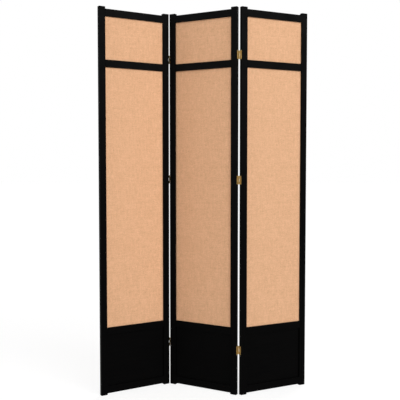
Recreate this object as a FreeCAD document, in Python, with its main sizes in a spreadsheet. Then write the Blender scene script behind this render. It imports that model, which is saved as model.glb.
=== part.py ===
import FreeCAD, Part
import os
import Sketcher

# Folding screen: three framed panels with woven cloth above a kick panel, joined by brass butt hinges.
# Lengths are millimetres. Each panel is drawn in a frame of its own: x runs along its width from its left
# edge, y from its front face to its back face, and z up from the floor.

# Driving dimensions, one cell of the sheet each
SIZES = {
    # The panels and the pose that the screen stands in
    "screen_height": 2134.0,
    "panel_width": 430.8,
    "frame_thickness": 20.0,
    "middle_turn": -30.0,
    "left_fold_turn": 61.5,
    "right_fold_turn": 56.9,
    # Stiles and rails
    "stile_width": 37.2,
    "rail_height": 40.0,
    "horn_height": 11.5,
    "foot_height": 8.5,
    "kick_height": 288.0,
    "upper_height": 233.5,
    "end_radius": 2.5,
    "edge_radius": 1.0,
    # Seats of the cloth and of the kick panel in the frame
    "seat_width": 7.0,
    "shoulder_depth": 7.5,
    "cloth_thickness": 1.0,
    "cloth_gap": 0.2,
    "cloth_edge_gap": 0.5,
    "bead_setback": 1.0,
    "bead_clearance": 0.15,
    "bead_chamfer": 1.5,
    "mitre_gap": 0.2,
    "kick_thickness": 4.0,
    "kick_clearance": 0.1,
    "kick_edge_gap": 1.0,
    # Dowels in the joints of stiles and rails
    "dowel_diameter": 6.0,
    "dowel_length": 40.0,
    "dowel_clearance": 0.1,
    "dowel_end_gap": 1.0,
    "dowel_margin": 1.5,
    "dowel_chamfer": 0.8,
    # Hinges
    "leaf_height": 47.0,
    "leaf_thickness": 1.2,
    "leaf_margin": 2.0,
    "pin_radius": 1.5,
    "pin_clearance": 0.05,
    "pin_chamfer": 0.3,
    "knuckle_standoff": 0.6,
    "knuckle_gap": 0.3,
    "knuckle_relief": 0.3,
    "centre_relief": 2.2,
    "left_leaf_sink": 2.5,
    "right_leaf_sink": 0.5,
    "gain_clearance": 0.2,
    "top_hinge_drop": 258.0,
    "middle_hinge_height": 1194.0,
    "low_hinge_height": 249.0,
    # Screws of the hinges
    "screw_length": 14.0,
    "screw_shank_diameter": 2.8,
    "screw_tip_length": 3.0,
    "screw_land": 0.2,
    "screw_clearance": 0.08,
    "screw_end_gap": 1.0,
    "screw_inset": 8.0,
    "screw_stagger": 6.0,
    "slot_width": 0.8,
    "slot_depth": 0.5,
}

# Knuckles of one hinge: the middle panel's leaves have the odd ones, counted from 0 at the lower end
KNUCKLES = 3
# Turn of each screw slot from the one before it, so that the slots don't line up
SLOT_STEP = 35.0

PANELS = ("left", "middle", "right")
SIDES = ("left", "right")
LEVELS = ("top", "middle", "low")
# Panels that each fold joins, as seen from the front
FOLDS = {"left": ("left", "middle"), "right": ("middle", "right")}

# Formulas on the sheet's cells
THICKNESS = "sizes.frame_thickness"
MID_THICKNESS = "sizes.frame_thickness / 2"
INNER_EDGE = {
    "left": "sizes.stile_width",
    "right": "(sizes.panel_width - sizes.stile_width)",
}
OUTER_EDGE = {"left": "0", "right": "sizes.panel_width"}
RAIL_LENGTH = f"({INNER_EDGE['right']} - {INNER_EDGE['left']})"
RAIL_BOTTOM = {
    "top": "(sizes.screen_height - sizes.horn_height - sizes.rail_height)",
    "middle": "(sizes.screen_height - sizes.horn_height - 2 * sizes.rail_height - sizes.upper_height)",
    "lower": "(sizes.foot_height + sizes.rail_height + sizes.kick_height)",
    "bottom": "sizes.foot_height",
}
RAIL_TOP = {rail: f"({bottom} + sizes.rail_height)" for rail, bottom in RAIL_BOTTOM.items()}
# Lower and upper end of each cloth opening, and of the kick panel's opening
CLOTHS = {
    "upper": (RAIL_TOP["middle"], RAIL_BOTTOM["top"]),
    "main": (RAIL_TOP["lower"], RAIL_BOTTOM["middle"]),
}
KICK = (RAIL_TOP["bottom"], RAIL_BOTTOM["lower"])
# Edges of the rails that have a rebate for cloth, and those that have a groove for the kick panel
REBATED = {"top": ["bottom"], "middle": ["bottom", "top"], "lower": ["top"], "bottom": []}
GROOVED = {"top": [], "middle": [], "lower": ["bottom"], "bottom": ["top"]}
GROOVE_WIDTH = "(sizes.kick_thickness + 2 * sizes.kick_clearance)"
GROOVE_FRONT = f"({MID_THICKNESS} - {GROOVE_WIDTH} / 2)"
BEAD_FRONT = "(sizes.shoulder_depth + 2 * sizes.cloth_gap + sizes.cloth_thickness)"
BEAD_BACK = f"({THICKNESS} - sizes.bead_setback)"

DOWEL_RADIUS = "sizes.dowel_diameter / 2"
DOWEL_SPREAD = (
    f"(sizes.rail_height / 2 - sizes.seat_width - sizes.dowel_margin - {DOWEL_RADIUS})"
)
DOWEL_HEIGHTS = {
    rail: [f"({bottom} + sizes.rail_height / 2 {sign} {DOWEL_SPREAD})" for sign in "-+"]
    for rail, bottom in RAIL_BOTTOM.items()
}

BORE = "(sizes.pin_radius + sizes.pin_clearance)"
KNUCKLE = f"({BORE} + sizes.leaf_thickness)"
KNUCKLE_PITCH = f"(sizes.leaf_height / {KNUCKLES})"
# How far the pin stands out from the panel's face, and from the edge of each stile at a fold
PIN_STANDOFF = f"({KNUCKLE} + sizes.knuckle_standoff)"
SINK = {"left": "sizes.left_leaf_sink", "right": "sizes.right_leaf_sink"}
PIN_OFFSET = {fold: f"({KNUCKLE} - {sink})" for fold, sink in SINK.items()}
# How far a leaf and its gain reach across the stile's edge, from the face that the pin is on
LEAF_WIDTH = f"({THICKNESS} - sizes.leaf_margin)"
GAIN_WIDTH = f"({LEAF_WIDTH} + sizes.gain_clearance)"
LEAF_REACH = f"({PIN_STANDOFF} + {LEAF_WIDTH})"
HINGE_MIDDLE = {
    "top": "(sizes.screen_height - sizes.top_hinge_drop)",
    "middle": "sizes.middle_hinge_height",
    "low": "sizes.low_hinge_height",
}
HINGE_BOTTOM = {level: f"({middle} - sizes.leaf_height / 2)" for level, middle in HINGE_MIDDLE.items()}

SHANK_RADIUS = "sizes.screw_shank_diameter / 2"
HEAD_HEIGHT = "(sizes.leaf_thickness - sizes.screw_land)"
HEAD_RADIUS = f"({SHANK_RADIUS} + {HEAD_HEIGHT})"
# Screws of one leaf: distance from the face that the pin is on, and height above the leaf's lower end
SCREWS = [
    (f"({LEAF_WIDTH} / 2 + sizes.screw_stagger / 2)", "sizes.screw_inset"),
    (f"({LEAF_WIDTH} / 2 - sizes.screw_stagger / 2)", "(sizes.leaf_height / 2)"),
    (f"({LEAF_WIDTH} / 2 + sizes.screw_stagger / 2)", "(sizes.leaf_height - sizes.screw_inset)"),
]

X_AXIS = FreeCAD.Vector(1, 0, 0)
Y_AXIS = FreeCAD.Vector(0, 1, 0)
Z_AXIS = FreeCAD.Vector(0, 0, 1)
NO_TURN = FreeCAD.Rotation()
# Lays a turned piece, made along z, along the panel's width
ALONG_WIDTH = FreeCAD.Rotation(Y_AXIS, 90)
TINY = 1e-6

doc = FreeCAD.newDocument("folding_screen")
sheet = doc.addObject("Spreadsheet::Sheet", "sizes")
for row, (alias, size) in enumerate(SIZES.items(), start=1):
    sheet.set(f"A{row}", alias)
    sheet.set(f"B{row}", str(size))
    sheet.setAlias(f"B{row}", alias)
doc.recompute()

nodes = []


def value(formula):
    """The number that a formula on the sheet's cells gives."""
    return float(sheet.evalExpression(formula))


def point(x, y, z):
    """A place from three formulas."""
    return FreeCAD.Vector(value(x), value(y), value(z))


def add_node(piece, label, placement):
    """Name a finished sub-part and stand it in its place."""
    piece.Label = label
    piece.Placement = placement
    nodes.append(piece)


# Sketches and features

def new_body(name):
    return doc.addObject("PartDesign::Body", name)


def new_sketch(body, name, plane_role, offset):
    """A sketch on one of its body's own planes, moved along the plane's normal."""
    sketch = body.newObject("Sketcher::SketchObject", f"{body.Name}_{name}")
    plane = next(feature for feature in body.Origin.OriginFeatures if feature.Role == plane_role)
    sketch.AttachmentSupport = (plane, [""])
    sketch.MapMode = "FlatFace"
    sketch.setExpression("AttachmentOffset.Base.z", offset)
    return sketch


def front_sketch(body, name, depth):
    """Seen from the front, at a depth behind the front face; cuts run on towards the back."""
    return new_sketch(body, name, "XZ_Plane", f"-{depth}")


def side_sketch(body, name, x):
    """Seen from the side, at a place along the width; cuts run towards smaller x."""
    return new_sketch(body, name, "YZ_Plane", x)


def tie_point(sketch, geometry, vertex, x, y):
    """Dimension one point of a sketch from its origin."""
    for kind, formula in (("DistanceX", x), ("DistanceY", y)):
        dimension = Sketcher.Constraint(kind, -1, 1, geometry, vertex, value(formula))
        sketch.setExpression(f"Constraints[{sketch.addConstraint(dimension)}]", formula)


def add_outline(sketch, corners):
    """A closed outline of straight lines through corners given as pairs of formulas."""
    places = [FreeCAD.Vector(value(x), value(y), 0) for x, y in corners]
    first = sketch.GeometryCount
    for start, end in zip(places, places[1:] + places[:1]):
        sketch.addGeometry(Part.LineSegment(start, end), False)
    for index, (x, y) in enumerate(corners):
        before = first + (index - 1) % len(corners)
        sketch.addConstraint(Sketcher.Constraint("Coincident", before, 2, first + index, 1))
        tie_point(sketch, first + index, 1, x, y)


def add_rectangle(sketch, left, right, low, high):
    add_outline(sketch, [(left, low), (right, low), (right, high), (left, high)])


def add_circle(sketch, x, y, radius):
    circle = Part.Circle(FreeCAD.Vector(value(x), value(y), 0), Z_AXIS, value(radius))
    index = sketch.addGeometry(circle, False)
    tie_point(sketch, index, 3, x, y)
    dimension = sketch.addConstraint(Sketcher.Constraint("Radius", index, value(radius)))
    sketch.setExpression(f"Constraints[{dimension}]", radius)


def pad(body, sketch, length, reverse=False):
    feature = body.newObject("PartDesign::Pad", f"{sketch.Name}_pad")
    feature.Profile = sketch
    feature.setExpression("Length", length)
    feature.Reversed = reverse
    return feature


def pocket(body, sketch, depth=None, reverse=False):
    """A cut from a sketch to a depth, or through everything where no depth is given."""
    feature = body.newObject("PartDesign::Pocket", f"{sketch.Name}_cut")
    feature.Profile = sketch
    feature.Reversed = reverse
    if depth is None:
        feature.Type = "ThroughAll"
    else:
        feature.setExpression("Length", depth)
    return feature


def revolve(body, sketch):
    """A turned solid about the body's own z axis."""
    feature = body.newObject("PartDesign::Revolution", f"{sketch.Name}_turned")
    feature.Profile = sketch
    feature.ReferenceAxis = (sketch, ["V_Axis"])
    return feature


def dress(body, kind, name, size_name, size, chosen):
    """Fillet or chamfer those edges of the body whose bounding box the test picks."""
    doc.recompute()
    base = body.Tip
    edges = [f"Edge{i}" for i, edge in enumerate(base.Shape.Edges, start=1) if chosen(edge.BoundBox)]
    feature = body.newObject(f"PartDesign::{kind}", f"{body.Name}_{name}")
    feature.Base = (base, edges)
    feature.setExpression(size_name, size)
    return feature


# Panels: where each one stands

def pin_place(fold, panel):
    """A fold's pin axis in the frame of one of its two panels."""
    left_panel = FOLDS[fold][0]
    offset = PIN_OFFSET[fold]
    x = f"sizes.panel_width + {offset}" if panel == left_panel else f"-{offset}"
    y = f"-{PIN_STANDOFF}" if fold == "left" else f"{THICKNESS} + {PIN_STANDOFF}"
    return point(x, y, "0")


def panel_placements():
    """Turn the middle panel, swing its neighbours about the pins, and centre the whole over the origin."""
    turns = {"middle": value("sizes.middle_turn")}
    for fold in FOLDS:
        turns[fold] = turns["middle"] + value(f"sizes.{fold}_fold_turn")
    places = {"middle": FreeCAD.Placement(FreeCAD.Vector(), FreeCAD.Rotation(Z_AXIS, turns["middle"]))}
    for fold in FOLDS:
        pin = places["middle"].multVec(pin_place(fold, "middle"))
        turn = FreeCAD.Rotation(Z_AXIS, turns[fold])
        places[fold] = FreeCAD.Placement(pin - turn.multVec(pin_place(fold, fold)), turn)
    ease = value("sizes.edge_radius")
    reach = FreeCAD.BoundBox()
    for place in places.values():
        for x in (ease, value("sizes.panel_width") - ease):
            for y in (ease, value(THICKNESS) - ease):
                reach.add(place.multVec(FreeCAD.Vector(x, y, 0)))
    for place in places.values():
        place.Base -= reach.Center
    return places


# Wooden frame

def hinge_edges(panel):
    """The sides of a panel that are hinged, with the fold on each."""
    return {"left" if pair[1] == panel else "right": fold for fold, pair in FOLDS.items() if panel in pair}


def screw_places(fold):
    """Depth and height, in the panel's frame, of every screw along one hinged stile edge."""
    for level in LEVELS:
        for from_pin_face, rise in SCREWS:
            depth = from_pin_face if fold == "left" else f"({THICKNESS} - {from_pin_face})"
            yield depth, f"({HINGE_BOTTOM[level]} + {rise})"


def cut_hinge_seats(body, side, fold):
    """Gains that the hinge leaves lie in, open to the pin's face, and pilot holes in a stile's outer edge."""
    edge = OUTER_EDGE[side]
    sign = "+" if side == "left" else "-"
    start, depth = ("0", GAIN_WIDTH) if fold == "left" else (f"({THICKNESS} - {GAIN_WIDTH})", None)
    gains = front_sketch(body, "gains", start)
    for bottom in HINGE_BOTTOM.values():
        low = f"({bottom} - sizes.gain_clearance)"
        high = f"({bottom} + sizes.leaf_height + sizes.gain_clearance)"
        floor = f"({edge} {sign} {SINK[fold]})"
        add_rectangle(gains, *sorted([edge, floor], key=value), low, high)
    pocket(body, gains, depth)
    pilots = side_sketch(body, "pilots", edge)
    for from_front, height in screw_places(fold):
        add_circle(pilots, from_front, height, f"({SHANK_RADIUS} + sizes.screw_clearance)")
    length = f"{SINK[fold]} + sizes.screw_length - sizes.leaf_thickness + sizes.screw_end_gap"
    pocket(body, pilots, length, reverse=side == "left")


def cut_dowel_holes(body, x, heights, name, reverse):
    holes = side_sketch(body, name, x)
    for height in heights:
        add_circle(holes, MID_THICKNESS, height, f"({DOWEL_RADIUS} + sizes.dowel_clearance)")
    pocket(body, holes, "sizes.dowel_length / 2 + sizes.dowel_end_gap", reverse)


def make_stile(panel, side, placement):
    """An upright with rounded ends, seats for cloth and kick panel, dowel holes and hinge seats."""
    body = new_body(f"{panel}_panel_{side}_stile")
    outer = OUTER_EDGE[side]
    inner = INNER_EDGE[side]
    blank = front_sketch(body, "blank", "0")
    add_rectangle(blank, *sorted([outer, inner], key=value), "0", "sizes.screen_height")
    pad(body, blank, THICKNESS, reverse=True)
    dress(body, "Fillet", "ends", "Radius", "sizes.end_radius", lambda box: box.YLength > TINY)
    dress(body, "Fillet", "edges", "Radius", "sizes.edge_radius", lambda box: box.YLength < TINY)
    sign = "-" if side == "left" else "+"
    seat = sorted([inner, f"({inner} {sign} sizes.seat_width)"], key=value)
    rebates = front_sketch(body, "rebates", "sizes.shoulder_depth")
    for low, high in CLOTHS.values():
        add_rectangle(rebates, *seat, f"({low} - sizes.seat_width)", f"({high} + sizes.seat_width)")
    pocket(body, rebates)
    groove = front_sketch(body, "groove", GROOVE_FRONT)
    add_rectangle(groove, *seat, f"({KICK[0]} - sizes.seat_width)", f"({KICK[1]} + sizes.seat_width)")
    pocket(body, groove, GROOVE_WIDTH)
    heights = [height for pair in DOWEL_HEIGHTS.values() for height in pair]
    cut_dowel_holes(body, inner, heights, "dowel_holes", reverse=side == "right")
    if side in hinge_edges(panel):
        cut_hinge_seats(body, side, hinge_edges(panel)[side])
    add_node(body, body.Name, placement)


def edge_band(rail, edge):
    """Lower and upper side of the seat along one edge of a rail."""
    if edge == "bottom":
        return RAIL_BOTTOM[rail], f"({RAIL_BOTTOM[rail]} + sizes.seat_width)"
    return f"({RAIL_TOP[rail]} - sizes.seat_width)", RAIL_TOP[rail]


def make_rail(panel, rail, placement):
    """A crosspiece between the stiles, with seats along its edges and dowel holes in its ends."""
    body = new_body(f"{panel}_panel_{rail}_rail")
    blank = side_sketch(body, "blank", INNER_EDGE["left"])
    add_rectangle(blank, "0", THICKNESS, RAIL_BOTTOM[rail], RAIL_TOP[rail])
    pad(body, blank, RAIL_LENGTH)
    dress(body, "Fillet", "edges", "Radius", "sizes.edge_radius", lambda box: box.XLength > TINY)
    ends = (INNER_EDGE["left"], INNER_EDGE["right"])
    if REBATED[rail]:
        rebates = front_sketch(body, "rebates", "sizes.shoulder_depth")
        for edge in REBATED[rail]:
            add_rectangle(rebates, *ends, *edge_band(rail, edge))
        pocket(body, rebates)
    if GROOVED[rail]:
        groove = front_sketch(body, "groove", GROOVE_FRONT)
        for edge in GROOVED[rail]:
            add_rectangle(groove, *ends, *edge_band(rail, edge))
        pocket(body, groove, GROOVE_WIDTH)
    for side in SIDES:
        cut_dowel_holes(body, INNER_EDGE[side], DOWEL_HEIGHTS[rail], f"{side}_holes", reverse=side == "left")
    add_node(body, body.Name, placement)


def make_sheet(label, placement, opening, edge_gap, front, thickness):
    """A flat board or cloth that fills an opening and reaches into the seats round it."""
    low, high = opening
    reach = f"(sizes.seat_width - {edge_gap})"
    board = doc.addObject("Part::Box", label)
    board.setExpression("Length", f"{RAIL_LENGTH} + 2 * {reach}")
    board.setExpression("Width", thickness)
    board.setExpression("Height", f"{high} - {low} + 2 * {reach}")
    corner = point(f"{INNER_EDGE['left']} - {reach}", front, f"{low} - {reach}")
    add_node(board, label, placement * FreeCAD.Placement(corner, NO_TURN))


def make_beads(label, placement, opening):
    """Four mitred stop beads that hold a cloth in its rebate, chamfered where they show."""
    low, high = opening
    left, right = INNER_EDGE["left"], INNER_EDGE["right"]
    reach = "(sizes.seat_width - sizes.bead_clearance)"
    outside = (f"({left} - {reach})", f"({right} + {reach})", f"({low} - {reach})", f"({high} + {reach})")
    inside = (left, right, low, high)
    body = new_body(label)
    ring = front_sketch(body, "ring", BEAD_FRONT)
    add_rectangle(ring, *outside)
    add_rectangle(ring, *inside)
    pad(body, ring, f"{BEAD_BACK} - {BEAD_FRONT}", reverse=True)
    back = value(BEAD_BACK)
    within = FreeCAD.BoundBox(value(left), back, value(low), value(right), back, value(high))
    within.enlarge(TINY)
    dress(body, "Chamfer", "arris", "Size", "sizes.bead_chamfer", within.isInside)
    mitres = front_sketch(body, "mitres", BEAD_FRONT)
    half = "sizes.mitre_gap / 2"
    for outer_x, inner_x in zip(outside[:2], inside[:2]):
        for outer_z, inner_z in zip(outside[2:], inside[2:]):
            corners = [(f"{outer_x} - {half}", outer_z), (f"{outer_x} + {half}", outer_z)]
            corners += [(f"{inner_x} + {half}", inner_z), (f"{inner_x} - {half}", inner_z)]
            add_outline(mitres, corners)
    pocket(body, mitres)
    add_node(body, label, placement)


# Turned pieces, made along z

def make_dowel_pattern():
    """One dowel with chamfered ends, which the groups repeat."""
    body = new_body("dowel")
    outline = front_sketch(body, "outline", "0")
    slim = f"{DOWEL_RADIUS} - sizes.dowel_chamfer"
    length = "sizes.dowel_length"
    corners = [("0", "0"), (slim, "0"), (DOWEL_RADIUS, "sizes.dowel_chamfer")]
    corners += [(DOWEL_RADIUS, f"{length} - sizes.dowel_chamfer"), (slim, length), ("0", length)]
    add_outline(outline, corners)
    revolve(body, outline)
    return body


def make_screw_pattern():
    """One countersunk slotted screw, head at the origin and tip up, which the groups repeat."""
    body = new_body("screw")
    outline = front_sketch(body, "outline", "0")
    shoulder = "sizes.screw_length - sizes.screw_tip_length"
    corners = [("0", "0"), (HEAD_RADIUS, "0"), (SHANK_RADIUS, HEAD_HEIGHT), (SHANK_RADIUS, shoulder)]
    add_outline(outline, corners + [("0", "sizes.screw_length")])
    revolve(body, outline)
    slot = new_sketch(body, "slot", "XY_Plane", "0")
    half = "sizes.slot_width / 2"
    add_rectangle(slot, f"-{HEAD_RADIUS}", HEAD_RADIUS, f"-{half}", half)
    pocket(body, slot, "sizes.slot_depth", reverse=True)
    return body


def make_group(label, placement, pattern, places):
    """Copies of one piece, each a separate solid."""
    copies = []
    for index, place in enumerate(places):
        copy = doc.addObject("App::Link", f"{label}_{index}")
        copy.LinkedObject = pattern
        copy.Placement = place
        copies.append(copy)
    group = doc.addObject("Part::Compound", label)
    group.Links = copies
    add_node(group, label, placement)


def dowel_places():
    for side in SIDES:
        start = f"{INNER_EDGE[side]} - sizes.dowel_length / 2"
        for heights in DOWEL_HEIGHTS.values():
            for height in heights:
                yield FreeCAD.Placement(point(start, MID_THICKNESS, height), ALONG_WIDTH)


# Hinges

def leaf_placement(fold, panel, level):
    """A leaf in its panel's frame. It is made with its plate on the pin's +x side, running towards +y."""
    base = pin_place(fold, panel)
    on_left_panel = panel == FOLDS[fold][0]
    turn = FreeCAD.Rotation(Y_AXIS, 180) if on_left_panel else NO_TURN
    if fold == "right":
        turn = FreeCAD.Rotation(Z_AXIS, 180) if on_left_panel else FreeCAD.Rotation(X_AXIS, 180)
    upside_down = turn.multVec(Z_AXIS).z < 0
    rise = "sizes.leaf_height" if upside_down else "0"
    base.z = value(f"{HINGE_BOTTOM[level]} + {rise}")
    return FreeCAD.Placement(base, turn)


def make_leaf(label, placement, own_knuckles, relief):
    """A hinge plate rolled into knuckles, with notches for the other leaf's knuckles and countersunk holes."""
    body = new_body(label)
    plate = new_sketch(body, "plate", "XY_Plane", "0")
    add_rectangle(plate, BORE, KNUCKLE, "0", LEAF_REACH)
    pad(body, plate, "sizes.leaf_height")
    barrel = new_sketch(body, "barrel", "XY_Plane", "0")
    for radius in (KNUCKLE, BORE):
        add_circle(barrel, "0", "0", radius)
    pad(body, barrel, "sizes.leaf_height")
    clear = f"({KNUCKLE} + {relief})"
    notches = side_sketch(body, "notches", f"-{clear}")
    for index in range(KNUCKLES):
        if index not in own_knuckles:
            low = f"({index} * {KNUCKLE_PITCH} - sizes.knuckle_gap / 2)"
            high = f"({index + 1} * {KNUCKLE_PITCH} + sizes.knuckle_gap / 2)"
            add_rectangle(notches, f"-{clear}", clear, low, high)
    pocket(body, notches, reverse=True)
    holes = side_sketch(body, "holes", BORE)
    for from_pin_face, rise in SCREWS:
        add_circle(holes, f"{PIN_STANDOFF} + {from_pin_face}", rise, SHANK_RADIUS)
    doc.recompute()
    hole = body.newObject("PartDesign::Hole", f"{label}_countersinks")
    hole.Profile = holes
    hole.ThreadType = "None"
    hole.DepthType = "ThroughAll"
    hole.HoleCutType = "Countersink"
    hole.HoleCutCustomValues = True
    hole.HoleCutCountersinkAngle = 90
    hole.Reversed = True
    hole.setExpression("Diameter", "sizes.screw_shank_diameter + 2 * sizes.screw_clearance")
    hole.setExpression("HoleCutDiameter", f"2 * ({HEAD_RADIUS} + sizes.screw_clearance)")
    add_node(body, label, placement)


def make_pin(label, placement):
    """A hinge pin with chamfered ends, as long as the leaves are high."""
    body = new_body(label)
    outline = front_sketch(body, "outline", "0")
    radius, length, chamfer = "sizes.pin_radius", "sizes.leaf_height", "sizes.pin_chamfer"
    corners = [("0", "0"), (f"{radius} - {chamfer}", "0"), (radius, chamfer)]
    corners += [(radius, f"{length} - {chamfer}"), (f"{radius} - {chamfer}", length), ("0", length)]
    add_outline(outline, corners)
    revolve(body, outline)
    add_node(body, label, placement)


def leaf_screw_places(fold, panel):
    """Screws of the leaves along one stile edge, in the panel's frame."""
    count = 0
    for level in LEVELS:
        leaf = leaf_placement(fold, panel, level)
        for from_pin_face, rise in SCREWS:
            slot_turn = FreeCAD.Rotation(Z_AXIS, SLOT_STEP * count)
            seat = point(BORE, f"{PIN_STANDOFF} + {from_pin_face}", rise)
            yield leaf * FreeCAD.Placement(seat, ALONG_WIDTH * slot_turn)
            count += 1


# The whole screen

placements = panel_placements()
dowel = make_dowel_pattern()
screw = make_screw_pattern()

for panel in PANELS:
    place = placements[panel]
    for side in SIDES:
        make_stile(panel, side, place)
    for rail in RAIL_BOTTOM:
        make_rail(panel, rail, place)
    for cloth, opening in CLOTHS.items():
        label = f"{panel}_panel_{cloth}_cloth"
        front = "sizes.shoulder_depth + sizes.cloth_gap"
        make_sheet(label, place, opening, "sizes.cloth_edge_gap", front, "sizes.cloth_thickness")
        make_beads(f"{panel}_panel_{cloth}_cloth_beads", place, opening)
    label = f"{panel}_panel_kick_panel"
    front = f"{GROOVE_FRONT} + sizes.kick_clearance"
    make_sheet(label, place, KICK, "sizes.kick_edge_gap", front, "sizes.kick_thickness")
    make_group(f"{panel}_panel_dowels", place, dowel, dowel_places())

for fold, pair in FOLDS.items():
    for side, panel in zip(SIDES, pair):
        place = placements[panel]
        parity = 1 if panel == "middle" else 0
        relief = "sizes.knuckle_relief" if panel == "middle" else "sizes.centre_relief"
        for level in LEVELS:
            leaf_place = place * leaf_placement(fold, panel, level)
            label = f"{fold}_fold_{level}_hinge_{side}_leaf"
            make_leaf(label, leaf_place, range(parity, KNUCKLES, 2), relief)
        screws = leaf_screw_places(fold, panel)
        make_group(f"{fold}_fold_{side}_leaf_screws", place, screw, screws)
    for level in LEVELS:
        foot = pin_place(fold, "middle")
        foot.z = value(HINGE_BOTTOM[level])
        pin_base = placements["middle"].multVec(foot)
        make_pin(f"{fold}_fold_{level}_hinge_pin", FreeCAD.Placement(pin_base, NO_TURN))

doc.recompute()

# Tests before anything is written

for item in doc.Objects:
    if {"Invalid", "Error"} & set(item.State):
        raise RuntimeError(f"{item.Name} failed: {item.State}")
    if item.TypeId in ("PartDesign::Pocket", "PartDesign::Hole"):
        if item.Shape.Volume > item.BaseFeature.Shape.Volume - TINY:
            raise RuntimeError(f"{item.Name} cuts nothing")
for piece in nodes:
    if piece.Shape.isNull() or not piece.Shape.isValid():
        raise RuntimeError(f"{piece.Label} has no valid shape")

os.makedirs("parts", exist_ok=True)
for piece in nodes:
    piece.Shape.exportStep(f"parts/{piece.Label}.step")

print(len(nodes), "nodes")
for fold in FOLDS:
    axis = placements["middle"].multVec(pin_place(fold, "middle"))
    print(f"{fold} fold pin axis at x {axis.x:.4f}, y {axis.y:.4f}")
for panel in PANELS:
    for side in SIDES:
        middle = f"({OUTER_EDGE[side]} + {INNER_EDGE[side]}) / 2"
        foot = placements[panel].multVec(point(middle, MID_THICKNESS, "0"))
        print(f"{panel} panel {side} foot at x {foot.x:.4f}, y {foot.y:.4f}")
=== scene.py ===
import math

import bpy
import numpy as np
from mathutils import Matrix, Vector, noise


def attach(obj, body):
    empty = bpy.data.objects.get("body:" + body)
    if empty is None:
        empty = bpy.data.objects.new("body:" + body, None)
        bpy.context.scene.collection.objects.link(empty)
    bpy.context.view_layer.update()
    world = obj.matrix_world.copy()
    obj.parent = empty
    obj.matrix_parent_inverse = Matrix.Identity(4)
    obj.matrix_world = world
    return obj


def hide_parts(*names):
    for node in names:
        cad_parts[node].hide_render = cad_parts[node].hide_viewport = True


# Folding screen of three framed panels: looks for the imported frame. Lengths are metres.

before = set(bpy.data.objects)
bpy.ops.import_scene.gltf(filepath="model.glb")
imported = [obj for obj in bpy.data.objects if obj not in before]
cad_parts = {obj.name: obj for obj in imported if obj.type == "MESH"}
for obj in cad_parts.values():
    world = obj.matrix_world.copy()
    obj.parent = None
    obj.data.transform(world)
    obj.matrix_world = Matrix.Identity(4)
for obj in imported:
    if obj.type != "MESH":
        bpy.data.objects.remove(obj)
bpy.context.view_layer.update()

PANELS = ("left", "middle", "right")
FOLDS = ("left", "right")
LEAVES = ("left_leaf", "right_leaf")
STILES = ("left_stile", "right_stile")
RAILS = ("top_rail", "middle_rail", "lower_rail", "bottom_rail")
BEADS = ("upper_cloth_beads", "main_cloth_beads")

# Camera
CAMERA_PLACE = (-0.0522254, -4.0093453, 1.2869878)
CAMERA_PITCH = 0.0516
CAMERA_YAW = 0.0062
FOCAL_PIXELS = 713.2788
IMAGE_PIXELS = 400
SENSOR_WIDTH = 36.0

# Light: each distant lamp's direction in degrees right of the front and above the floor, its width in
# degrees and its strength
AMBIENT = 0.27
BACKDROP = 1.0
LAMPS = {
    "key": (58.0, 15.0, 17.0, 1.0),
    "front": (30.0, 25.0, 40.0, 0.90),
    "fill": (-64.0, 2.0, 46.0, 2.28),
    "back": (155.0, 20.0, 30.0, 2.0),
}
HIGH_LAMP_PLACE = Vector((3.0, -3.0, 4.5))
HIGH_LAMP_AIM = Vector((0.0, 0.0, 1.3))
HIGH_LAMP_SIZE = 3.0
HIGH_LAMP_POWER = 72.0

# Floor: the light that it throws back, and how it shows
FLOOR_HALF = 40.0
FLOOR_BOUNCE = 0.4
FLOOR_LIT_SHARE = 0.28
FLOOR_GLOW = 0.80

# Noise nodes: the usual middle and range of their values, their outputs, and the detail of fine ones
NOISE_MIDDLE = 0.5
NOISE_RANGE = (0.3, 0.7)
NOISE_VALUE = 0
NOISE_COLOUR = 1
FINE_DETAIL = 4.0
# Colour sockets of a mix node, which has sockets of the same names for other kinds of value
MIX_FIRST = 6
MIX_SECOND = 7
MIX_RESULT = 2

# Cloth sheets: the edge hidden in the rebate, the mesh, and the faint waves that stretched cloth keeps
COVERED_EDGE = 0.0065
CLOTH_STEP = 0.01
CLOTH_THICKNESS = 0.0008
WAVE_HEIGHT = 0.0006
WAVE_FADE = 0.05
WAVES_PER_METRE = Vector((5.0, 0.0, 2.6))
# Where the noise for a cloth's waves is taken: by its opening, and a step further for each panel
WAVE_SEEDS = {"upper": 5.0, "main": 4.0}
PANEL_SEED_STEP = 7.0

# Weave: pitch of the yarns, how far and how often they wander, how high and round they are, and how far
# each one rises where it crosses over
YARN_PITCH = 0.0018
YARN_WANDER = 0.0028
WANDERS = 14.0
YARN_HEIGHT = 0.0004
YARN_ROUND = 0.6
YARN_RISE = 0.4
YARN_BUMP = 0.5
# Tone of the weave: the step from yarn to yarn in the noise, slubs along the yarns, and the shares of soft
# patches and of bands of yarn
YARN_STEP = 1.37
WARP_SEED = 3.1
WEFT_SEED = 8.7
WARP_SLUBS = 35.0
WEFT_SLUBS = 70.0
YARN_DETAIL = 3.0
PATCHES = 24.0
PATCH_SHARE = 0.08
BANDS_ACROSS = 90.0
BANDS_ALONG = 10.0
BAND_SHARE = 0.17
JUTE_ROUGHNESS = (0.95, 0.78)
JUTE_SPECULAR = 0.12
JUTE_SHEEN = 0.05
JUTE_SHEEN_ROUGHNESS = 0.6

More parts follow.
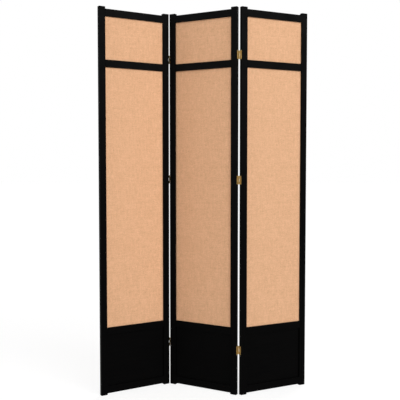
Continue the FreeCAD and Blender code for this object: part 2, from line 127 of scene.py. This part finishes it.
# Lacquer: its grain changes fast across the wood and slowly along it, with smears and dust on top
GRAIN_ACROSS = 420.0
GRAIN_ALONG = 9.0
UPRIGHT_GRAIN = (GRAIN_ACROSS, GRAIN_ACROSS, GRAIN_ALONG)
LEVEL_GRAIN = (GRAIN_ALONG, GRAIN_ACROSS, GRAIN_ACROSS)
SMEARS = 9.0
DUST = 900.0
DUST_DETAIL = 1.0
DUST_ON_ROUGHNESS = 0.06
DUST_ON_HEIGHT = 0.12
LACQUER_ROUGHNESS = (0.30, 0.42)
LACQUER_HEIGHT = 0.0002
LACQUER_BUMP = 0.18
LACQUER_SPECULAR = 0.013

# Brass: tarnish and upright scratches. Outward from the pin's middle, it is bright until the first distance
# and carries painted shade from the second on, darkening the barrel where it stands out
TARNISH = 160.0
SCRATCHES = (5000.0, 5000.0, 300.0)
SCRATCH_SHARE = 0.4
SCRATCH_HEIGHT = 0.00003
SCRATCH_BUMP = 0.25
WEAR_RANGE = (0.4, 1.0)
BRASS_ROUGHNESS = (0.34, 0.52)
UNSHADED_UNTIL = -0.0012
PAINTED_SHADE_FROM = 0.0004

# Bare wood of the dowels
FIBRES = (150.0, 900.0, 900.0)
FIBRE_HEIGHT = 0.0002
FIBRE_BUMP = 0.3
WOOD_ROUGHNESS = (0.55, 0.75)

# Colours, linear
WHITE = (1.0, 1.0, 1.0, 1.0)
JUTE_DARK = (0.57, 0.31, 0.165, 1.0)
JUTE_MIDDLE = (0.79, 0.455, 0.262, 1.0)
JUTE_LIGHT = (0.95, 0.58, 0.35, 1.0)
# Painted shade in the hollows between the yarns, multiplied into the yarn colour
JUTE_HOLLOW_SHADE = (0.62, 0.58, 0.54, 1.0)
LACQUER_DEEP = (0.0011, 0.0011, 0.0012, 1.0)
LACQUER_THIN = (0.0020, 0.0019, 0.0018, 1.0)
BRASS_DARK = (0.375, 0.268, 0.113, 1.0)
BRASS_BRIGHT = (0.615, 0.46, 0.205, 1.0)
# Painted shade laid on the hinge barrels, and the part of it kept where the tarnish noise is low
BARREL_PAINTED_SHADE = (0.040, 0.033, 0.017, 1.0)
PAINTED_SHADE_DIM = (0.7, 0.7, 0.7, 1.0)
SCREW_DARK = (0.25, 0.175, 0.075, 1.0)
SCREW_BRIGHT = (0.45, 0.325, 0.144, 1.0)
WOOD_DARK = (0.42, 0.27, 0.15, 1.0)
WOOD_LIGHT = (0.62, 0.44, 0.27, 1.0)
# Noise or height values at which the colours of a ramp are reached
JUTE_TONES = [(0.2, JUTE_DARK), (0.5, JUTE_MIDDLE), (0.8, JUTE_LIGHT)]
# Painted shade: full in the lowest hollows of the weave, none on the yarn tops
HOLLOW_SHADE_STOPS = [(0.0, JUTE_HOLLOW_SHADE), (0.55, WHITE)]
LACQUER_TONES = [(0.35, LACQUER_DEEP), (0.7, LACQUER_THIN)]
BRASS_STOPS = (0.3, 0.65)
# Painted shade on the barrels, varied by the tarnish noise
PAINTED_SHADE_TONES = [(0.3, PAINTED_SHADE_DIM), (0.7, WHITE)]
WOOD_TONES = [(0.3, WOOD_DARK), (0.7, WOOD_LIGHT)]


# Materials

class Nodes:
    """Short calls that add nodes to one shader tree and link them."""

    def __init__(self, tree):
        self.tree = tree

    def plug(self, socket, value):
        if isinstance(value, bpy.types.NodeSocket):
            self.tree.links.new(value, socket)
        else:
            socket.default_value = value

    def add(self, kind, inputs=(), **settings):
        node = self.tree.nodes.new(kind)
        for key, setting in settings.items():
            setattr(node, key, setting)
        for key, value in dict(inputs).items():
            self.plug(node.inputs[key], value)
        return node

    def math(self, operation, *values):
        return self.add("ShaderNodeMath", enumerate(values), operation=operation).outputs[0]

    def vector_math(self, operation, *values, output="Vector"):
        return self.add("ShaderNodeVectorMath", enumerate(values), operation=operation).outputs[output]

    def combine(self, x, y, z):
        return self.add("ShaderNodeCombineXYZ", {"X": x, "Y": y, "Z": z}).outputs[0]

    def place(self):
        """Coordinates in the piece's own frame."""
        return self.add("ShaderNodeTexCoord").outputs["Object"]

    def stretched(self, vector, scale, turn=0.0):
        """Coordinates turned about z, then scaled along each axis."""
        turned = self.add("ShaderNodeMapping", {"Vector": vector, "Rotation": (0.0, 0.0, turn)})
        return self.vector_math("MULTIPLY", turned.outputs[0], scale)

    def noise(self, vector, scale=1.0, detail=2.0, output=NOISE_VALUE):
        inputs = {"Vector": vector, "Scale": scale, "Detail": detail}
        return self.add("ShaderNodeTexNoise", inputs).outputs[output]

    def shifted(self, value, swing, share):
        """A value with a share of a noise's swing about its middle added."""
        return self.math("MULTIPLY_ADD", self.math("SUBTRACT", swing, NOISE_MIDDLE), share, value)

    def spread(self, value, goal, usual=NOISE_RANGE):
        """Carry a value from its usual range to another range."""
        inputs = {"Value": value, "From Min": usual[0], "From Max": usual[1]}
        inputs.update({"To Min": goal[0], "To Max": goal[1]})
        return self.add("ShaderNodeMapRange", inputs).outputs[0]

    def ramp(self, factor, stops):
        node = self.add("ShaderNodeValToRGB", {"Fac": factor})
        elements = node.color_ramp.elements
        while len(elements) < len(stops):
            elements.new(1.0)
        for element, (place, colour) in zip(elements, stops):
            element.position = place
            element.color = colour
        return node.outputs[0]

    def mix(self, factor, colour, other, blend="MIX"):
        node = self.add("ShaderNodeMix", {"Factor": factor}, data_type="RGBA", blend_type=blend)
        self.plug(node.inputs[MIX_FIRST], colour)
        self.plug(node.inputs[MIX_SECOND], other)
        return node.outputs[MIX_RESULT]

    def multiply(self, colour, other):
        return self.mix(1.0, colour, other, "MULTIPLY")

    def bump(self, height, distance, strength):
        inputs = {"Height": height, "Distance": distance, "Strength": strength}
        return self.add("ShaderNodeBump", inputs).outputs[0]


def new_material(name):
    """A material with its node helper and its main shader."""
    material = bpy.data.materials.new(name)
    material.use_nodes = True
    tree = material.node_tree
    return material, Nodes(tree), tree.nodes["Principled BSDF"]


def dress_shader(nodes, shader, **inputs):
    """Fill the shader's sockets: an underscore in a name stands for a space."""
    for key, value in inputs.items():
        nodes.plug(shader.inputs[key.replace("_", " ")], value)


def jute(name):
    """Plain-woven jute: slubby yarns of uneven tone that cross over and under each other, with painted
    shade between them.
    """
    material, nodes, shader = new_material(name)
    place = nodes.place()
    wander = nodes.noise(place, WANDERS, output=NOISE_COLOUR)
    wander = nodes.vector_math("SUBTRACT", wander, (NOISE_MIDDLE,) * 3)
    wander = nodes.vector_math("MULTIPLY", wander, (YARN_WANDER,) * 3)
    woven = nodes.vector_math("ADD", place, wander)
    axes = nodes.add("ShaderNodeSeparateXYZ", {"Vector": woven}).outputs
    across = nodes.math("DIVIDE", axes["X"], YARN_PITCH)
    along = nodes.math("DIVIDE", axes["Z"], YARN_PITCH)
    warp = nodes.math("SINE", nodes.math("MULTIPLY", across, math.pi))
    weft = nodes.math("SINE", nodes.math("MULTIPLY", along, math.pi))
    crossing = nodes.math("MULTIPLY", warp, weft)
    warp_round = nodes.math("MULTIPLY", nodes.math("ABSOLUTE", warp), YARN_ROUND)
    weft_round = nodes.math("MULTIPLY", nodes.math("ABSOLUTE", weft), YARN_ROUND)
    rise = nodes.math("MULTIPLY", crossing, YARN_RISE)
    warp_height = nodes.math("ADD", warp_round, rise)
    weft_height = nodes.math("SUBTRACT", weft_round, rise)
    height = nodes.math("MAXIMUM", warp_height, weft_height)

    warp_number = nodes.math("MULTIPLY", nodes.math("FLOOR", across), YARN_STEP)
    weft_number = nodes.math("MULTIPLY", nodes.math("FLOOR", along), YARN_STEP)
    slub_z = nodes.math("MULTIPLY", axes["Z"], WARP_SLUBS)
    slub_x = nodes.math("MULTIPLY", axes["X"], WEFT_SLUBS)
    warp_tone = nodes.noise(nodes.combine(warp_number, WARP_SEED, slub_z), detail=YARN_DETAIL)
    weft_tone = nodes.noise(nodes.combine(slub_x, WEFT_SEED, weft_number), detail=YARN_DETAIL)
    warp_on_top = nodes.math("GREATER_THAN", crossing, 0.0)
    difference = nodes.math("SUBTRACT", warp_tone, weft_tone)
    tone = nodes.math("MULTIPLY_ADD", difference, warp_on_top, weft_tone)
    tone = nodes.shifted(tone, nodes.noise(place, PATCHES, FINE_DETAIL), PATCH_SHARE)
    for grain in ((BANDS_ACROSS, 1.0, BANDS_ALONG), (BANDS_ALONG, 1.0, BANDS_ACROSS)):
        bands = nodes.noise(nodes.stretched(place, grain), detail=YARN_DETAIL)
        tone = nodes.shifted(tone, bands, BAND_SHARE)

    colour = nodes.ramp(tone, JUTE_TONES)
    # Painted shade: the yarn colour is darkened where the weave is low, between the yarns
    hollow_shade = nodes.ramp(height, HOLLOW_SHADE_STOPS)
    dress_shader(
        nodes,
        shader,
        Base_Color=nodes.multiply(colour, hollow_shade),
        Roughness=nodes.spread(tone, JUTE_ROUGHNESS),
        Normal=nodes.bump(height, YARN_HEIGHT, YARN_BUMP),
        Specular_IOR_Level=JUTE_SPECULAR,
        Sheen_Weight=JUTE_SHEEN,
        Sheen_Roughness=JUTE_SHEEN_ROUGHNESS,
    )
    return material


def lacquer(name, grain, turn=0.0):
    """Satin black lacquer over wood: grain gives how fast the surface changes along each axis."""
    material, nodes, shader = new_material(name)
    place = nodes.place()
    figure = nodes.noise(nodes.stretched(place, grain, -turn), detail=FINE_DETAIL)
    smears = nodes.noise(place, SMEARS, FINE_DETAIL)
    dust = nodes.noise(place, DUST, DUST_DETAIL)
    smeared = nodes.spread(smears, LACQUER_ROUGHNESS)
    height = nodes.math("MULTIPLY_ADD", dust, DUST_ON_HEIGHT, figure)
    dress_shader(
        nodes,
        shader,
        Base_Color=nodes.ramp(figure, LACQUER_TONES),
        Roughness=nodes.math("MULTIPLY_ADD", dust, DUST_ON_ROUGHNESS, smeared),
        Normal=nodes.bump(height, LACQUER_HEIGHT, LACQUER_BUMP),
        Specular_IOR_Level=LACQUER_SPECULAR,
    )
    return material


def brass(name, axis, outward, dark, bright):
    """Rolled brass: dulled in places, with painted shade where the barrel stands out, and fine upright
    scratches.
    """
    material, nodes, shader = new_material(name)
    place = nodes.place()
    tarnish = nodes.noise(place, TARNISH, FINE_DETAIL)
    around = nodes.vector_math("SUBTRACT", place, axis)
    stands_out = nodes.vector_math("DOT_PRODUCT", around, outward, output="Value")
    plate = nodes.ramp(tarnish, list(zip(BRASS_STOPS, (dark, bright))))
    # Painted shade: the barrel is darkened where it stands out past the pin, varied by the tarnish noise
    barrel_painted_shade = nodes.multiply(BARREL_PAINTED_SHADE, nodes.ramp(tarnish, PAINTED_SHADE_TONES))
    painted_shade_share = nodes.spread(stands_out, (0.0, 1.0), (UNSHADED_UNTIL, PAINTED_SHADE_FROM))
    scratches = nodes.noise(nodes.stretched(place, SCRATCHES))
    wear = nodes.math("MULTIPLY_ADD", scratches, SCRATCH_SHARE, tarnish)
    dress_shader(
        nodes,
        shader,
        Base_Color=nodes.mix(painted_shade_share, plate, barrel_painted_shade),
        Roughness=nodes.spread(wear, BRASS_ROUGHNESS, WEAR_RANGE),
        Normal=nodes.bump(scratches, SCRATCH_HEIGHT, SCRATCH_BUMP),
        Metallic=1.0,
    )
    return material


def bare_wood(name):
    """Pale bare wood of the dowels."""
    material, nodes, shader = new_material(name)
    fibres = nodes.noise(nodes.stretched(nodes.place(), FIBRES), detail=FINE_DETAIL)
    dress_shader(
        nodes,
        shader,
        Base_Color=nodes.ramp(fibres, WOOD_TONES),
        Roughness=nodes.spread(fibres, WOOD_ROUGHNESS),
        Normal=nodes.bump(fibres, FIBRE_HEIGHT, FIBRE_BUMP),
    )
    return material


def seen_directly(nodes):
    """One for rays from the camera or by way of a mirror or glass, and zero for the rest."""
    rays = nodes.add("ShaderNodeLightPath").outputs
    mirrored = nodes.math("MAXIMUM", rays["Is Glossy Ray"], rays["Is Transmission Ray"])
    return nodes.math("MAXIMUM", rays["Is Camera Ray"], mirrored)


def pale_floor(name):
    """White paper floor that keeps a soft shadow."""
    material, nodes, shader = new_material(name)
    output = material.node_tree.nodes["Material Output"]
    material.node_tree.nodes.remove(shader)
    bounce = nodes.add("ShaderNodeBsdfDiffuse", {"Color": (FLOOR_BOUNCE,) * 3 + (1.0,)})
    lit = nodes.add("ShaderNodeBsdfDiffuse", {"Color": (FLOOR_LIT_SHARE,) * 3 + (1.0,)})
    glow = nodes.add("ShaderNodeEmission", {"Color": WHITE, "Strength": FLOOR_GLOW})
    shown = nodes.add("ShaderNodeAddShader", {0: lit.outputs[0], 1: glow.outputs[0]})
    choice = {0: seen_directly(nodes), 1: bounce.outputs[0], 2: shown.outputs[0]}
    nodes.plug(output.inputs["Surface"], nodes.add("ShaderNodeMixShader", choice).outputs[0])
    return material


def repaint(node, material):
    """Give a carried-over node a better material."""
    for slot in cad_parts[node].material_slots:
        slot.link = "OBJECT"
        slot.material = material


# Places

def corners(node):
    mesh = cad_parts[node].data
    return np.array([vertex.co for vertex in mesh.vertices])


def middle(node):
    return Vector(corners(node).mean(axis=0))


def panel_angle(panel):
    """Angle about z of a panel's width, read from its kick panel."""
    plan = corners(f"{panel}_panel_kick_panel")[:, :2]
    direction = np.linalg.svd(plan - plan.mean(axis=0), full_matrices=False)[2][0]
    if direction[0] < 0:
        direction = -direction
    return math.atan2(direction[1], direction[0])


def add_object(name, data):
    added = bpy.data.objects.new(name, data)
    bpy.context.scene.collection.objects.link(added)
    return added


# Cloth

def ease(distance):
    """Zero at the frame's edge, one well inside the opening."""
    share = min(max((distance - COVERED_EDGE) / WAVE_FADE, 0.0), 1.0)
    return share * share * (3 - 2 * share)


def steps(length):
    return np.linspace(0.0, length, max(2, round(length / CLOTH_STEP)) + 1)


def stretched_cloth(panel, cloth, angle, seed, material):
    """A thin woven sheet held in its rebate, with faint waves inside the opening."""
    node = f"{panel}_panel_{cloth}_cloth"
    turn = Matrix.Rotation(angle, 4, "Z")
    local = corners(node) @ np.array(turn.to_3x3())
    low, high = local.min(axis=0), local.max(axis=0)
    width, depth, length = (float(side) for side in high - low)
    columns, rows = steps(width), steps(length)
    vertices, faces = [], []
    for side in (-CLOTH_THICKNESS / 2, CLOTH_THICKNESS / 2):
        for z in rows:
            for x in columns:
                fade = ease(min(x, width - x)) * ease(min(z, length - z))
                sample = Vector((x, 0.0, z)) * WAVES_PER_METRE + Vector((0.0, seed, 0.0))
                wave = WAVE_HEIGHT * fade * noise.noise(sample)
                vertices.append((x, side + wave, z))
    across, up = len(columns), len(rows)
    back = across * up
    for row in range(up - 1):
        for column in range(across - 1):
            first = row * across + column
            front = (first, first + 1, first + across + 1, first + across)
            faces.append(front)
            faces.append(tuple(back + index for index in reversed(front)))
    rim = list(range(across))
    rim += [row * across + across - 1 for row in range(1, up)]
    rim += [(up - 1) * across + column for column in reversed(range(across - 1))]
    rim += [row * across for row in reversed(range(1, up - 1))]
    for start, end in zip(rim, rim[1:] + rim[:1]):
        faces.append((end, start, back + start, back + end))
    mesh = bpy.data.meshes.new(f"{node}_woven")
    mesh.from_pydata(vertices, [], faces)
    mesh.shade_smooth()
    mesh.materials.append(material)
    sheet = add_object(f"{node}_woven", mesh)
    corner = Vector((low[0], low[1] + depth / 2, low[2]))
    sheet.matrix_world = turn @ Matrix.Translation(corner)
    bpy.context.view_layer.update()
    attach(sheet, f"{panel}_panel")
    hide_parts(node)


# The screen

jute_cloth = jute("woven_jute")
dowel_wood = bare_wood("dowel_wood_bare")
upright_lacquer = lacquer("black_lacquer_upright", UPRIGHT_GRAIN)

for number, panel in enumerate(PANELS):
    angle = panel_angle(panel)
    level_lacquer = lacquer(f"black_lacquer_level_{panel}", LEVEL_GRAIN, angle)
    for piece in STILES:
        repaint(f"{panel}_panel_{piece}", upright_lacquer)
    for piece in RAILS + BEADS + ("kick_panel",):
        repaint(f"{panel}_panel_{piece}", level_lacquer)
    repaint(f"{panel}_panel_dowels", dowel_wood)
    for cloth, seed in WAVE_SEEDS.items():
        stretched_cloth(panel, cloth, angle, PANEL_SEED_STEP * number + seed, jute_cloth)

for fold in FOLDS:
    axis = middle(f"{fold}_fold_middle_hinge_pin")
    left_leaf, right_leaf = (middle(f"{fold}_fold_middle_hinge_{leaf}") for leaf in LEAVES)
    outward = axis - (left_leaf + right_leaf) / 2
    outward.z = 0.0
    outward.normalize()
    hinge_brass = brass(f"{fold}_hinge_brass", axis, outward, BRASS_DARK, BRASS_BRIGHT)
    screw_brass = brass(f"{fold}_screw_brass", axis, outward, SCREW_DARK, SCREW_BRIGHT)
    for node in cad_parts:
        if node.startswith(f"{fold}_fold_"):
            repaint(node, screw_brass if node.endswith("_screws") else hinge_brass)


# Stage

floor_mesh = bpy.data.meshes.new("floor")
floor_plan = ((-1, -1), (1, -1), (1, 1), (-1, 1))
floor_corners = [(x * FLOOR_HALF, y * FLOOR_HALF, 0.0) for x, y in floor_plan]
floor_mesh.from_pydata(floor_corners, [], [(0, 1, 2, 3)])
floor_mesh.materials.append(pale_floor("pale_floor"))
floor = add_object("floor", floor_mesh)

world = bpy.data.worlds.new("white_studio")
world.use_nodes = True
world_nodes = Nodes(world.node_tree)
light_fill = world.node_tree.nodes["Background"]
light_fill.inputs["Color"].default_value = WHITE
light_fill.inputs["Strength"].default_value = AMBIENT
backdrop = world_nodes.add("ShaderNodeBackground", {"Color": WHITE, "Strength": BACKDROP})
shown_world = {0: seen_directly(world_nodes), 1: light_fill.outputs[0], 2: backdrop.outputs[0]}
world_surface = world_nodes.add("ShaderNodeMixShader", shown_world).outputs[0]
world_nodes.plug(world.node_tree.nodes["World Output"].inputs["Surface"], world_surface)
bpy.context.scene.world = world


def add_lamp(name, kind, strength, direction):
    """A lamp that shines along a direction."""
    light = bpy.data.lights.new(name, kind)
    light.energy = strength
    lamp = add_object(name, light)
    lamp.rotation_euler = direction.to_track_quat("-Z", "Y").to_euler()
    return lamp


# Distant lamps are broad and far away, so that their light is even over the screen and the floor
for name, (azimuth, elevation, width, strength) in LAMPS.items():
    turn, tilt = math.radians(azimuth), math.radians(elevation)
    ahead = math.cos(tilt)
    towards = Vector((math.sin(turn) * ahead, -math.cos(turn) * ahead, math.sin(tilt)))
    distant_lamp = add_lamp(name, "SUN", strength, -towards)
    distant_lamp.data.angle = math.radians(width)

high_lamp = add_lamp("high", "AREA", HIGH_LAMP_POWER, HIGH_LAMP_AIM - HIGH_LAMP_PLACE)
high_lamp.location = HIGH_LAMP_PLACE
high_lamp.data.size = HIGH_LAMP_SIZE

lens = bpy.data.cameras.new("camera")
lens.sensor_fit = "HORIZONTAL"
lens.sensor_width = SENSOR_WIDTH
lens.lens = FOCAL_PIXELS * SENSOR_WIDTH / IMAGE_PIXELS
camera = add_object("camera", lens)
camera.location = CAMERA_PLACE
camera.rotation_euler = (math.pi / 2 - CAMERA_PITCH, 0.0, -CAMERA_YAW)
bpy.context.scene.camera = camera

bpy.context.scene.view_settings.view_transform = "Standard"
